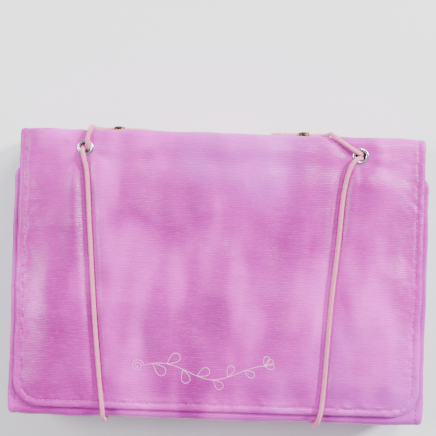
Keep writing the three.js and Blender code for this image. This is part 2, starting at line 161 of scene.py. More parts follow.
# ---- finishes ----------------------------------------------------------------------------------------
def finish_nodes(name, **sockets):
    """A new finish: its material, its shader and a function that adds nodes to it."""
    made = bpy.data.materials.new(name)
    made.use_nodes = True
    tree = made.node_tree
    shader = tree.nodes["Principled BSDF"]
    for socket, value in sockets.items():
        shader.inputs[socket.replace("_", " ")].default_value = value

    def add(kind, sources=None, **settings):
        node = tree.nodes.new("ShaderNode" + kind)
        for key, value in settings.items():
            setattr(node, key, value)
        for socket, source in (sources or {}).items():
            if isinstance(source, bpy.types.NodeSocket):
                tree.links.new(source, node.inputs[socket])
            else:
                node.inputs[socket].default_value = source
        return node

    return made, shader, add, tree.links.new


def spaced(add, source, scale, turn=0.0):
    """The source coordinates in stretched steps, turned about Z."""
    settings = {"Vector": source, "Scale": scale, "Rotation": (0, 0, turn)}
    return add("Mapping", settings).outputs[0]


def mixed(add, factor, first, second):
    """One colour or the other, by a factor."""
    node = add("Mix", data_type="RGBA", clamp_factor=True)
    sockets = {"Factor_Float": factor, "A_Color": first, "B_Color": second}
    for socket in node.inputs:
        value = sockets.get(socket.identifier)
        if isinstance(value, bpy.types.NodeSocket):
            node.id_data.links.new(value, socket)
        elif value is not None:
            socket.default_value = value
    return [s for s in node.outputs if s.identifier == "Result_Color"][0]


def ranged(add, value, low, high, to_low=0.0, to_high=1.0):
    """A value spread from one range to another, held at the ends."""
    sources = {"Value": value, "From Min": low, "From Max": high, "To Min": to_low, "To Max": to_high}
    return add("MapRange", sources).outputs[0]


def summed(add, *weighted):
    """The values added up, each times its weight."""
    total = None
    for value, weight in weighted:
        part = add("Math", {0: value, 1: weight}, operation="MULTIPLY").outputs[0]
        total = part if total is None else add("Math", {0: total, 1: part}).outputs[0]
    return total


def raised(add, height, strength, distance):
    return add("Bump", {"Height": height, "Strength": strength, "Distance": distance}).outputs[0]


def satin_finish(name, deep, main, pale, painted_sheen_lilac, ribs=0.34):
    """Ribbed satin: wavering cross ribs, a slubby yarn, broad painted shade and painted pale highlights, and
    a painted lilac sheen.
    """
    made, shader, add, link = finish_nodes(
        name, Roughness=0.36, Sheen_Weight=0.20, Sheen_Roughness=0.30, Sheen_Tint=(0.50, 0.52, 1.0, 1),
        Anisotropic=0.35, Specular_IOR_Level=0.45)
    place = add("TexCoord").outputs["Object"]
    broad = add("TexNoise", {"Vector": place, "Scale": 11, "Detail": 1.5, "Roughness": 0.5}).outputs[0]
    patch = add("TexNoise", {
        "Vector": spaced(add, place, (34, 13, 20), 0.25), "Scale": 1, "Detail": 1.6}).outputs[0]
    slub = add("TexNoise", {
        "Vector": spaced(add, place, (75, 900, 900), 0.02), "Scale": 1, "Detail": 3}).outputs[0]
    fleck = add("TexNoise", {
        "Vector": spaced(add, place, (420, 1100, 600), 0.02), "Scale": 1, "Detail": 2}).outputs[0]
    rib = add("TexWave", {
        "Vector": spaced(add, place, (420, 1000, 1000), 0.02), "Scale": 0.29, "Distortion": 5.5,
        "Detail": 2, "Detail Scale": 0.9}, bands_direction="Y").outputs["Fac"]
    # Painted light in the base colour: the broad deep-to-main mottle is painted shade, the pale patches are
    # painted highlights and the lilac patches are a painted sheen.
    shade = ranged(add, summed(add, (broad, 0.5), (patch, 0.5)), 0.36, 0.60)
    body = mixed(add, shade, deep, main)
    body = mixed(add, ranged(add, patch, 0.48, 0.72, 0, 0.85), body, pale)
    body = mixed(add, ranged(add, broad, 0.55, 0.72, 0, 0.45), body, painted_sheen_lilac)
    weave = summed(add, (rib, 0.26), (slub, 0.36), (fleck, 0.48))
    body = mixed(add, ranged(add, weave, 0.58, 0.40, 0, ribs), body, deep)
    body = mixed(add, ranged(add, weave, 0.60, 0.78, 0, ribs), body, pale)
    link(body, shader.inputs["Base Color"])
    link(ranged(add, weave, 0.35, 0.75, 0.46, 0.30), shader.inputs["Roughness"])
    link(raised(add, weave, 0.55, 0.00035), shader.inputs["Normal"])
    return made


def woven_finish(name, dark, light, ribs_per_metre, **sockets):
    """Plain woven or knitted ribbon: crossing ribs and a dusty mottle."""
    made, shader, add, link = finish_nodes(name, **sockets)
    place = add("TexCoord").outputs["Object"]
    warp, weft = (add("TexWave", {
        "Vector": spaced(add, place, (ribs_per_metre,) * 3), "Scale": 0.314, "Distortion": 0.6,
        "Detail": 1}, bands_direction=way).outputs["Fac"] for way in "XY")
    mottle = add("TexNoise", {"Vector": place, "Scale": 120, "Detail": 3}).outputs[0]
    weave = summed(add, (warp, 0.5), (weft, 0.5))
    tone = ranged(add, summed(add, (weave, 0.45), (mottle, 0.55)), 0.25, 0.75)
    link(mixed(add, tone, dark, light), shader.inputs["Base Color"])
    link(raised(add, weave, 0.4, 0.0002), shader.inputs["Normal"])
    return made


def pile_finish(name, dark, light):
    """Matted loops or hooks: a tangled surface with no shine."""
    made, shader, add, link = finish_nodes(name, Roughness=0.95, Sheen_Weight=0.6, Sheen_Roughness=0.5)
    place = add("TexCoord").outputs["Object"]
    tangle = add("TexNoise", {"Vector": place, "Scale": 1400, "Detail": 4, "Distortion": 2}).outputs[0]
    rows = add("TexVoronoi", {"Vector": place, "Scale": 900}).outputs["Distance"]
    tone = ranged(add, summed(add, (tangle, 0.7), (rows, 0.4)), 0.3, 0.75)
    link(mixed(add, tone, dark, light), shader.inputs["Base Color"])
    link(raised(add, tangle, 0.8, 0.0004), shader.inputs["Normal"])
    return made


def metal_finish(name, tone, worn, roughness):
    """Plated metal with soft wear, finger marks and fine scratches."""
    made, shader, add, link = finish_nodes(name, Metallic=1.0)
    place = add("TexCoord").outputs["Object"]
    smear = add("TexNoise", {"Vector": place, "Scale": 260, "Detail": 4}).outputs[0]
    scratch = add("TexNoise", {
        "Vector": spaced(add, place, (300, 4200, 1500), 0.5), "Scale": 1, "Detail": 2}).outputs[0]
    wear = ranged(add, smear, 0.45, 0.75)
    link(mixed(add, wear, tone, worn), shader.inputs["Base Color"])
    link(ranged(add, smear, 0.3, 0.7, roughness - 0.06, roughness + 0.12), shader.inputs["Roughness"])
    link(raised(add, scratch, 0.08, 0.0001), shader.inputs["Normal"])
    return made


def elastic_finish(name, dark, light):
    """Round braided elastic: slanting yarns that cross, by the cord's own length and girth."""
    made, shader, add, link = finish_nodes(name, Roughness=0.7, Sheen_Weight=0.4, Sheen_Roughness=0.4)
    around = add("UVMap", uv_map="braid").outputs[0]
    yarns = []
    for turn in (0.62, -0.62):
        turned = add("Mapping", {"Vector": around, "Rotation": (0, 0, turn)}).outputs[0]
        yarns.append(add("TexWave", {"Vector": turned, "Scale": 0.9}, bands_direction="X").outputs["Fac"])
    braid = add("Math", {0: yarns[0], 1: yarns[1]}, operation="MAXIMUM").outputs[0]
    mottle = add("TexNoise", {"Vector": around, "Scale": 0.6, "Detail": 3}).outputs[0]
    tone = ranged(add, summed(add, (braid, 0.6), (mottle, 0.5)), 0.25, 0.95)
    link(mixed(add, tone, dark, light), shader.inputs["Base Color"])
    link(raised(add, braid, 0.5, 0.0002), shader.inputs["Normal"])
    return made


def thread_finish(name, dark, light):
    """Twisted sewing thread."""
    made, shader, add, link = finish_nodes(name, Roughness=0.45, Sheen_Weight=0.3, Sheen_Roughness=0.4)
    place = add("TexCoord").outputs["Object"]
    twist = add("TexNoise", {"Vector": place, "Scale": 2600, "Detail": 2}).outputs[0]
    link(mixed(add, ranged(add, twist, 0.35, 0.65), dark, light), shader.inputs["Base Color"])
    link(raised(add, twist, 0.5, 0.0001), shader.inputs["Normal"])
    return made


def net_finish(name, dark, light):
    """Sheer knitted net that lets what is behind it show."""
    made, shader, add, link = finish_nodes(
        name, Roughness=0.6, Alpha=0.62, Sheen_Weight=0.5, Sheen_Roughness=0.4)
    place = add("TexCoord").outputs["Object"]
    cells = add("TexVoronoi", {"Vector": place, "Scale": 900}, feature="DISTANCE_TO_EDGE").outputs[0]
    cloud = add("TexNoise", {"Vector": place, "Scale": 40, "Detail": 3}).outputs[0]
    threads = ranged(add, cells, 0.02, 0.22, 1, 0)
    tone = ranged(add, summed(add, (threads, 0.6), (cloud, 0.5)), 0.2, 0.85)
    link(mixed(add, tone, dark, light), shader.inputs["Base Color"])
    link(raised(add, threads, 0.5, 0.0002), shader.inputs["Normal"])
    return made


# In both satins the deep colour is both painted shade and yarn tone, the pale colour is both painted
# highlight and yarn tone, and the lilac colour is a painted sheen.
SATIN = satin_finish(
    "orchid_satin", (0.34, 0.008, 0.25, 1), (0.66, 0.024, 0.51, 1), (0.98, 0.095, 0.80, 1),
    (0.56, 0.10, 0.74, 1))
LINING = satin_finish(
    "plum_lining", (0.20, 0.035, 0.17, 1), (0.36, 0.075, 0.31, 1), (0.52, 0.18, 0.47, 1),
    (0.38, 0.16, 0.46, 1), 0.3)
NET = net_finish("lavender_net", (0.20, 0.10, 0.48, 1), (0.52, 0.36, 0.88, 1))
TAPE = woven_finish(
    "lavender_tape", (0.28, 0.12, 0.52, 1), (0.58, 0.32, 0.84, 1), 1100, Roughness=0.8,
    Sheen_Weight=0.3, Sheen_Roughness=0.4)
PILE = pile_finish("hook_and_loop_pile", (0.20, 0.09, 0.40, 1), (0.50, 0.30, 0.76, 1))
COIL = metal_finish("black_zip_coil", (0.012, 0.009, 0.009, 1), (0.03, 0.024, 0.024, 1), 0.4)
COIL.node_tree.nodes["Principled BSDF"].inputs["Metallic"].default_value = 0.0
SILVER = metal_finish("silver_plate", (0.62, 0.62, 0.64, 1), (0.80, 0.80, 0.81, 1), 0.20)
BRONZE = metal_finish("dark_bronze", (0.10, 0.055, 0.028, 1), (0.24, 0.14, 0.075, 1), 0.34)
ELASTIC = elastic_finish("pink_elastic", (0.48, 0.075, 0.20, 1), (0.96, 0.31, 0.50, 1))
SEAM_THREAD = thread_finish("orchid_thread", (0.30, 0.03, 0.24, 1), (0.62, 0.12, 0.50, 1))
SPRIG_THREAD = thread_finish("pale_pink_thread", (0.80, 0.30, 0.60, 1), (0.98, 0.52, 0.80, 1))


# ---- mesh helpers ------------------------------------------------------------------------------------
def smooth_all(piece):
    piece.data.polygons.foreach_set("use_smooth", [True] * len(piece.data.polygons))


def mesh_piece(name, places, faces, finish):
    """A smooth piece from its places and faces."""
    mesh = bpy.data.meshes.new(name)
    mesh.from_pydata(places, [], faces)
    mesh.materials.append(finish)
    piece = bpy.data.objects.new(name, mesh)
    smooth_all(piece)
    bpy.context.scene.collection.objects.link(piece)
    return piece


def new_piece(name, places, faces, finish):
    """The same, with its faces turned outwards."""
    piece = mesh_piece(name, [tuple(p) for p in places], [tuple(f) for f in faces], finish)
    work = bmesh.new()
    work.from_mesh(piece.data)
    bmesh.ops.recalc_face_normals(work, faces=work.faces)
    work.to_mesh(piece.data)
    work.free()
    return piece


def copy_piece(piece, name, place):
    """A copy with its own mesh, put in its place."""
    made = piece.copy()
    made.data = piece.data.copy()
    made.name = name
    made.data.name = name
    made.data.transform(place)
    bpy.context.scene.collection.objects.link(made)
    return made


def pick_only(piece):
    bpy.ops.object.select_all(action="DESELECT")
    piece.select_set(True)
    bpy.context.view_layer.objects.active = piece


def settle(piece):
    """Every modifier applied and the place moved into the mesh."""
    pick_only(piece)
    for modifier in list(piece.modifiers):
        bpy.ops.object.modifier_apply(modifier=modifier.name)
    bpy.ops.object.transform_apply(location=True, rotation=True, scale=True)
    return piece


def start_piece(name, finish):
    """Names the primitive that was just added and gives it its finish."""
    piece = bpy.context.active_object
    piece.name = name
    piece.data.name = name
    piece.data.materials.append(finish)
    return piece


def select_faces(piece, wanted):
    """Selects, in edit mode, the faces for which wanted(centre, normal) holds."""
    pick_only(piece)
    bpy.ops.object.mode_set(mode="EDIT")
    bpy.ops.mesh.select_mode(type="FACE")
    bpy.ops.mesh.select_all(action="DESELECT")
    work = bmesh.from_edit_mesh(piece.data)
    for face in work.faces:
        face.select = wanted(face.calc_center_median(), face.normal)
    bmesh.update_edit_mesh(piece.data)


def join_pieces(first, *others):
    bpy.ops.object.select_all(action="DESELECT")
    for other in others:
        other.select_set(True)
    first.select_set(True)
    bpy.context.view_layer.objects.active = first
    bpy.ops.object.join()
    return first


def stamped(name, model, frames, finish):
    """Many copies of a small model in one piece, one at each frame."""
    places = np.array([v.co for v in model.data.vertices])
    faces = [list(p.vertices) for p in model.data.polygons]
    all_places, all_faces = [], []
    for k, spot in enumerate(frames):
        turn = np.array(spot)
        all_places.append(places @ turn[:3, :3].T + turn[:3, 3])
        all_faces += [[index + k * len(places) for index in face] for face in faces]
    return mesh_piece(name, np.concatenate(all_places), all_faces, finish)


def remove_model(model):
    bpy.data.objects.remove(model)


def add_block(place, size):
    """A box of a size at a place."""
    bpy.ops.object.select_all(action="DESELECT")
    bpy.ops.mesh.primitive_cube_add(size=1, location=place, scale=size)
    bpy.ops.object.transform_apply(location=True, scale=True)
    return bpy.context.active_object


def add_rod(sides, radius, depth, place, turn=(0, 0, 0)):
    """A round rod whose middle is at a place, standing along Z until it is turned."""
    bpy.ops.object.select_all(action="DESELECT")
    bpy.ops.mesh.primitive_cylinder_add(
        vertices=sides, radius=radius, depth=depth, location=place, rotation=turn)
    return bpy.context.active_object


def round_edges(piece, width, segments):
    rounding = piece.modifiers.new("round", "BEVEL")
    rounding.width = width
    rounding.segments = segments
    return rounding


def cut_out(piece, tool):
    """Cuts the tool's shape out of the piece and takes the tool away."""
    cut = piece.modifiers.new("hole", "BOOLEAN")
    cut.object = tool
    cut.operation = "DIFFERENCE"
    pick_only(piece)
    bpy.ops.object.modifier_apply(modifier=cut.name)
    remove_model(tool)


# ---- cloth -------------------------------------------------------------------------------------------
def ease(value):
    share = np.clip(value, 0, 1)
    return share * share * (3 - 2 * share)


def ripple(x, s, size, seed):
    """A smooth wandering height from about -1 to 1, with bumps of the given size."""
    return np.array([
        noise.noise(Vector((a / size, b / size, seed))) for a, b in zip(np.ravel(x), np.ravel(s))
    ]).reshape(np.shape(x)) * 1.6


CORD_TREE = kdtree.KDTree(sum(len(line) for line in CORD_LINES))
for index, point in enumerate(np.concatenate(CORD_LINES)):
    CORD_TREE.insert(Vector(point), index)
CORD_TREE.balance()


def cord_gap(x, y, z):
    """How far each place is from the middle of the nearest cord."""
    flat = zip(np.ravel(x), np.ravel(y), np.ravel(z))
    return np.array([CORD_TREE.find(Vector(p))[2] for p in flat]).reshape(np.shape(x))


class ClothRun:
    """Cloth that runs straight, turns one rounded corner outwards and runs straight again."""

    def __init__(self, start, heading, outward, first, second, radius=FOLD_RADIUS):
        self.start = np.array(start)
        self.heading = np.array(heading, float)
        self.outward = np.array(outward, float)
        self.radius = radius
        self.before = first - radius
        self.bend = radius * math.pi / 2
        self.length = self.before + self.bend + second - radius
        self.corner = self.start + self.heading * first

    def at(self, s):
        """The Y and Z of the face at distance s, and the way it faces there."""
        s = np.asarray(s)[..., None]
        turn = np.clip((s - self.before) / self.radius, 0, math.pi / 2)
        facing = self.outward * np.cos(turn) + self.heading * np.sin(turn)
        centre = self.corner - (self.heading + self.outward) * self.radius
        first = self.start + self.heading * s
        past = self.corner - self.outward * (self.radius + s - self.before - self.bend)
        bent = centre + facing * self.radius
        place = np.where(s < self.before, first, np.where(s > self.before + self.bend, past, bent))
        return place, facing


def edge_steps(length, near, middle):
    """Distances from 0 to length, close together at both ends and even between."""
    hem = [0, 0.0006, 0.0014, 0.0024, 0.0034, 0.0041, 0.0046, 0.0051, 0.0058, 0.0068, 0.0082]
    low = hem if near[0] else [0]
    high = [length - step for step in reversed(hem)] if near[1] else [length]
    count = max(2, round((high[0] - low[-1]) / middle))
    inner = list(np.linspace(low[-1], high[0], count + 1))[1:-1]
    return np.array(low + inner + high)


class Sheet:
    """One body of cloth: a run of cloth with a width, a rounded free end and a height over its run."""

    def __init__(self, run, half, height, end_corner=0.0, free_end=False, wander=0.0004, seed=1.0):
        self.run = run
        self.half = half
        self.height = height
        self.end_corner = end_corner
        self.free_end = free_end
        self.wander = wander
        self.seed = seed

    def half_at(self, s):
        """Half the width at distance s, before its corners are rounded."""
        return self.half(s) if callable(self.half) else np.full(np.shape(s), self.half)

    def width_at(self, s):
        """Half the width at distance s, drawn in by the rounded corners at the free end."""
        half = self.half_at(s)
        if self.end_corner:
            left = np.clip(self.run.length - s, 0, self.end_corner)
            drawn = self.end_corner - np.sqrt(self.end_corner ** 2 - (self.end_corner - left) ** 2)
            half = half - drawn
        return half

    def edge_gap(self, x, s):
        """How far each place is inside the free edges."""
        side = self.half_at(s) - np.abs(x)
        if not self.free_end:
            return side
        end = self.run.length - s
        corner = self.end_corner
        in_corner = (side < corner) & (end < corner)
        round_gap = corner - np.hypot(corner - side, corner - end)
        return np.where(in_corner, round_gap, np.minimum(side, end))

    def faces_at(self, x, s):
        """Outer and inner places for widths x and distances s."""
        place, facing = self.run.at(s)
        outer, inner = self.height(x, s, place, self.edge_gap(x, s), self)
        sway = np.sign(x) * self.wander * ripple(s, s * 0, 0.022, self.seed) * ease(
            (np.abs(x) - 0.06) / 0.07) * ease(s / 0.02)
        points = []
        for lift in (outer, inner):
            yz = place + facing * lift[..., None]
            points.append(np.concatenate([(x + sway)[..., None], yz], axis=-1))
        return points

    def build(self, name, finish, middle=0.0022):
        rows = edge_steps(self.run.length, (False, self.free_end), middle)
        side = np.max(self.width_at(rows))
        columns = edge_steps(2 * side, (True, True), middle) / side - 1
        s, u = np.meshgrid(rows, columns, indexing="ij")
        x = u * self.width_at(s)
        outer, inner = self.faces_at(x, s)
        return closed_cloth(name, outer, inner, finish)


def closed_cloth(name, outer, inner, finish):
    """The two faces of a cloth joined round their edge by a rounded lip."""
    rows, columns = outer.shape[:2]
    count = rows * columns
    index = np.arange(count).reshape(rows, columns)
    quads = np.stack([index[:-1, :-1], index[:-1, 1:], index[1:, 1:], index[1:, :-1]], -1).reshape(-1, 4)
    rim = list(index[0, :]) + list(index[1:, -1]) + list(index[-1, -2::-1]) + list(index[-2:0:-1, 0])
    inside = list(index[1, :]) + list(index[1:, -2]) + list(index[-2, -2::-1]) + list(index[-2:0:-1, 1])
    outer_flat, inner_flat = outer.reshape(-1, 3), inner.reshape(-1, 3)
    middle = (outer_flat[rim] + inner_flat[rim]) / 2
    away = middle - (outer_flat[inside] + inner_flat[inside]) / 2
    away[:, 0] = np.where(np.abs(away[:, 0]) < 1e-9, 0, away[:, 0])
    away /= np.maximum(np.linalg.norm(away, axis=1), 1e-9)[:, None]
    deep = np.linalg.norm(outer_flat[rim] - inner_flat[rim], axis=1)[:, None]
    lip = middle + away * deep * 0.35
    fixed = np.isclose(np.asarray(rim) // columns, 0)
    lip[fixed] = middle[fixed]
    places = np.concatenate([outer_flat, inner_flat, lip])
    faces = list(quads) + [q[::-1] + count for q in quads]
    lips = 2 * count + np.arange(len(rim))
    for k in range(len(rim)):
        n = (k + 1) % len(rim)
        faces.append([rim[k], lips[k], lips[n], rim[n]])
        faces.append([lips[k], rim[k] + count, rim[n] + count, lips[n]])
    piece = new_piece(name, places, faces, finish)
    for edge in piece.data.edges:
        first, second = (corner % count for corner in edge.vertices)
        edge.use_edge_sharp = max(edge.vertices) < 2 * count and max(first, second) < columns
    return piece


def hem_height(gap):
    """A turned hem: a soft roll along the edge and a groove where the topstitch pulls it down."""
    roll = 0.00008 * ease(gap / 0.0016) * ease((SEAM_INSET - gap) / 0.0018)
    groove = -0.00050 * np.exp(-((gap - SEAM_INSET) / 0.0007) ** 2)
    drop = -0.0006 * (1 - ease(gap / 0.0012))
    return roll + groove + drop


def hem_puckers(x, s, gap, seed):
    """Short gathers that run in from the stitched edge."""
    along = ripple(x + s, x - s, 0.0042, seed)
    fade = np.exp(-((gap - 0.006) / 0.0075) ** 2)
    return 0.00050 * along * fade


def eyelet_pull(x, y):
    """Folds that fan out from each eyelet."""
    total = 0
    for side, (cx, cy) in enumerate(EYELETS):
        dx, dy = x - cx, y - cy
        far = np.hypot(dx, dy)
        angle = np.arctan2(dy, dx)
        fan = np.cos(7 * angle + 1.3 * side) + 0.6 * np.cos(11 * angle + 2.1)
        total = total + 0.00055 * fan * ease((far - 0.005) / 0.006) * np.exp(-((far - 0.006) / 0.022))
    return total


def eyelet_seat(x, y):
    """0 at the eyelets, where the cloth is pinched flat, and 1 away from them."""
    seat = 1
    for cx, cy in EYELETS:
        seat = seat * ease((np.hypot(x - cx, y - cy) - 0.0055) / 0.010)
    return seat


def cord_relief(x, place):
    """0 under the cords, which press the cloth down, and 1 away from them, with the ridge beside them."""
    beside = np.maximum(cord_gap(x + GROOVE_SHIFT, place[..., 0], place[..., 1]) - 0.0019, 0)
    ridge = np.exp(-((beside - 0.0046) / 0.0024) ** 2)
    return 1 - np.exp(-(beside / 0.0042) ** 2), ridge


def fold_softness(x, place, gap):
    """The bulge of a fold's upright face, the same on the two sheets that meet halfway up it."""
    z = place[..., 1]
    side = np.sign(place[..., 0])
    swell = 0.0006 + 0.0006 * ripple(x, z + side, 0.034, 2.9) + 0.0003 * ripple(x, z + side, 0.015, 8.3)
    return np.maximum(swell, -0.0002) * ease((gap - 0.002) / 0.016)


def flap_height(x, s, place, gap, sheet):
    on_top = ease((s - sheet.run.before) / 0.016)
    billow = (
        0.0019 * ripple(x * 1.25, s * 0.8, 0.060, 3.1) + 0.0013 * ripple(x * 1.3, s * 0.75, 0.027, 7.7)
        + 0.0004 * ripple(x, s, 0.013, 5.2)
    )
    crease = (1 - np.abs(ripple(x * 0.6 + s * 0.8, s * 0.6 - x * 0.8, 0.050, 9.4))) ** 3
    relief, ridge = cord_relief(x, place)
    over = eyelet_seat(x, place[..., 0])
    inside = ease((gap - 0.004) / 0.020)
    valley = np.exp(-((s - sheet.run.before - 0.022) / 0.009) ** 2)
    soft = (0.0028 + billow + 0.0010 * crease - 0.0018 * valley) * inside * over
    soft = soft * on_top + fold_softness(x, place, gap) * (1 - on_top)
    top = 0.0003 + (np.maximum(soft, -0.0003) + 0.0005 * ridge * inside * over) * relief
    top = top + hem_height(gap) + on_top * (
        hem_puckers(x, s, gap, 2.0) + eyelet_pull(x, place[..., 0]) * inside * relief)
    return top, np.minimum(top - SATIN_THICK, 0.0014)


def front_height(x, s, place, gap, sheet):
    on_top = ease((s - sheet.run.before) / 0.012)
    relief = cord_relief(x, place)[0]
    soft = 0.0003 * ripple(x, s, 0.05, 12.3) * ease((gap - 0.004) / 0.02)
    soft = soft * on_top + fold_softness(x, place, gap) * (1 - on_top)
    top = 0.0003 * (1 - on_top) + soft * relief + hem_height(gap) * (1 - 0.5 * on_top)
    top = top + hem_puckers(x, s, gap, 5.0) * 0.5 * on_top
    return top, top - SATIN_THICK


def back_height(x, s, place, gap, sheet):
    """The middle is lifted off the table and the padded side hems come down to rest on it."""
    on_fold = ease((s - sheet.run.before) / 0.012)
    hem = ease((np.abs(x) - 0.101) / 0.011) * ease((0.087 - s) / 0.012)
    relief = cord_relief(x, place)[0]
    under = 0.0006 * (1 + ripple(x, s, 0.04, 4.4)) * relief * (1 - hem)
    upright = 0.0003 + fold_softness(x, place, gap) * relief + hem_height(gap)
    roundness = np.sqrt(np.clip(1 - (1 - np.clip(gap / 0.004, 0, 1)) ** 2, 0, 1))
    middle = -SATIN_THICK / 2
    belly = middle + (BACK_FACE * hem + under - middle) * (1 - hem + hem * roundness)
    top = belly * (1 - on_fold) + upright * on_fold
    bottom = middle - (SATIN_THICK / 2) * (1 - hem + hem * roundness)
    return top, bottom * (1 - on_fold) + (upright - SATIN_THICK) * on_fold


def lining_height(x, s, place, gap, sheet):
    top = 0.00012 * ripple(x, s, 0.035, 6.6) - 0.0001
    return top, top - LINING_THICK


def back_half(s):
    return PANEL_HALF - (PANEL_HALF - FLAP_HALF) * ease((s - 0.080) / 0.014)


UP, DOWN, TOPWARD, BOTTOMWARD = (0, 1), (0, -1), (1, 0), (-1, 0)
TOP_BACK_RUN = ClothRun((0, BACK_FACE), TOPWARD, DOWN, FOLD_FACE, TOP_MIDDLE - BACK_FACE)
FLAP_RUN = ClothRun((FOLD_FACE, TOP_MIDDLE), UP, TOPWARD, FLAP_FACE - TOP_MIDDLE, FOLD_FACE - FLAP_TIP)
LOW_BACK_RUN = ClothRun((0, BACK_FACE), BOTTOMWARD, DOWN, FOLD_FACE, BOTTOM_MIDDLE - BACK_FACE)
FRONT_RUN = ClothRun(
    (-FOLD_FACE, BOTTOM_MIDDLE), UP, BOTTOMWARD, FRONT_FACE - BOTTOM_MIDDLE, FOLD_FACE + FRONT_TIP)
INNER_FOLD = 0.0937
INNER_BACK, INNER_FLAP, INNER_FRONT = 0.0065, 0.0484, 0.0457
INNER_FLAP_TIP, INNER_FRONT_TIP = -0.0875, 0.070


def lining_run(start, heading, outward, first, second):
    return ClothRun(start, heading, outward, first, second, radius=0.0035)


TOP_LINING_RUN = lining_run((0, INNER_BACK), TOPWARD, DOWN, INNER_FOLD, TOP_MIDDLE - INNER_BACK)
FLAP_LINING_RUN = lining_run(
    (INNER_FOLD, TOP_MIDDLE), UP, TOPWARD, INNER_FLAP - TOP_MIDDLE, INNER_FOLD - INNER_FLAP_TIP)
LOW_LINING_RUN = lining_run((0, INNER_BACK), BOTTOMWARD, DOWN, INNER_FOLD, BOTTOM_MIDDLE - INNER_BACK)
FRONT_LINING_RUN = lining_run(
    (-INNER_FOLD, BOTTOM_MIDDLE), UP, BOTTOMWARD, INNER_FRONT - BOTTOM_MIDDLE,
    INNER_FOLD + INNER_FRONT_TIP)

flap_sheet = Sheet(FLAP_RUN, FLAP_HALF, flap_height, FLAP_CORNER, True)
front_sheet = Sheet(FRONT_RUN, PANEL_HALF, front_height, FRONT_CORNER, True, seed=4.0)
top_back_sheet = Sheet(TOP_BACK_RUN, back_half, back_height, seed=6.0, wander=0.0)
low_back_sheet = Sheet(LOW_BACK_RUN, PANEL_HALF, back_height, seed=8.0, wander=0.0)


def lining_sheet(run, half, corner=0.0, free_end=False, seed=1.0):
    return Sheet(run, half, lining_height, corner, free_end, 0.0, seed)


def make_cover():
    """Satin outside and lining inside, in four lengths that meet up the folds and under the bag."""
    plans = [
        ("flap", flap_sheet, SATIN, "outer_satin", ["flap_outer"], 0.0019),
        ("front", front_sheet, SATIN, "outer_satin", ["front_panel_outer", "bottom_fold_outer"], 0.0024),
        ("top_back", top_back_sheet, SATIN, "outer_satin", ["top_fold_outer"], 0.0028),
        ("low_back", low_back_sheet, SATIN, "outer_satin", ["back_panel_outer"], 0.0028),
        ("flap", lining_sheet(FLAP_LINING_RUN, 0.1325, 0.0165, True), LINING, "lining",
         ["flap_lining"], 0.004),
        ("front", lining_sheet(FRONT_LINING_RUN, 0.1359, 0.010, True), LINING, "lining",
         ["front_panel_lining", "bottom_fold_lining"], 0.004),
        ("top_back", lining_sheet(TOP_LINING_RUN, FLAP_HALF - 0.0008), LINING, "lining",
         ["top_fold_lining"], 0.004),
        ("low_back", lining_sheet(LOW_LINING_RUN, FLAP_HALF), LINING, "lining",
         ["back_panel_lining"], 0.004),
    ]
    for part, sheet, finish, slot, stands_for, middle in plans:
        word = "satin" if finish == SATIN else "inside"
        piece = sheet.build(f"{part}_{word}", finish, middle)
        if part == "flap":
            punch_eyelet_holes(piece)
        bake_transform(piece)
        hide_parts(*stands_for)
        width = 2 * float(np.max(sheet.width_at(np.array([0.0, sheet.run.length / 2]))))


def punch_eyelet_holes(piece):
    for x, y in EYELETS:
        cut_out(piece, add_rod(32, EYELET_HOLE, 0.02, (x, y, EYELET_SEAT)))
    smooth_all(piece)


# ---- stitching ---------------------------------------------------------------------------------------
def stitch_model():
    """One stitch lying along X: a plump short thread, pinched at both ends."""
    bpy.ops.object.select_all(action="DESELECT")
    bpy.ops.mesh.primitive_uv_sphere_add(segments=8, ring_count=6, radius=1, rotation=(0, math.pi / 2, 0))
    model = bpy.context.active_object
    bpy.ops.object.transform_apply(rotation=True)
    for corner in model.data.vertices:
        corner.co.x = math.copysign(abs(corner.co.x) ** 0.7, corner.co.x)
    return model


def thread_frames(sheet, line, pitch, fill, thick, lift):
    """Where each stitch of a line of (x, s) points goes on a sheet."""
    flat = even_steps([(x, s, 0) for x, s in line], pitch)[:, :2]
    start, end = flat[:-1], flat[1:]
    middle = (start + end) / 2
    ends = []
    for share in (0.1, 0.5, 0.9):
        at = start + (end - start) * share
        outer, _ = sheet.faces_at(at[:, 0], at[:, 1])
        ends.append(outer)
    frames = []
    facing = sheet.run.at(middle[:, 1])[1]
    for k in range(len(middle)):
        along = Vector(ends[2][k] - ends[0][k]).normalized()
        up = Vector((0, *facing[k]))
        side = up.cross(along).normalized()
        up = along.cross(side)
        turn = Matrix((along, side, up)).transposed().to_4x4()
        length = math.hypot(*(end[k] - start[k])) * fill / 2
        scale = Matrix.Diagonal((length, thick, thick * 0.8, 1))
        frames.append(Matrix.Translation(Vector(ends[1][k]) + up * lift) @ turn @ scale)
    return frames


def seam_line(sheet, start, inset=SEAM_INSET):
    """The topstitch of a sheet with a free end: down one side, round the corners and up the other."""
    half, length, corner = float(sheet.width_at(np.array([0.0]))[0]), sheet.run.length, sheet.end_corner
    side = []
    for s in np.arange(start, length - corner, 0.002):
        side.append((half - inset, s))
    for k in range(1, 24):
        angle = math.pi / 2 * k / 24
        reach = corner - inset
        side.append((half - corner + reach * math.cos(angle), length - corner + reach * math.sin(angle)))
    side.append((half - corner, length - inset))
    return [(-x, s) for x, s in side] + [(x, s) for x, s in reversed(side)]


def side_lines(sheet):
    """The topstitches down both sides of a sheet without a free end."""
    marks = np.arange(0.0015, sheet.run.length, 0.002)
    return [
        [(side * (h - SEAM_INSET), s) for h, s in zip(sheet.half_at(marks), marks)] for side in (-1, 1)]


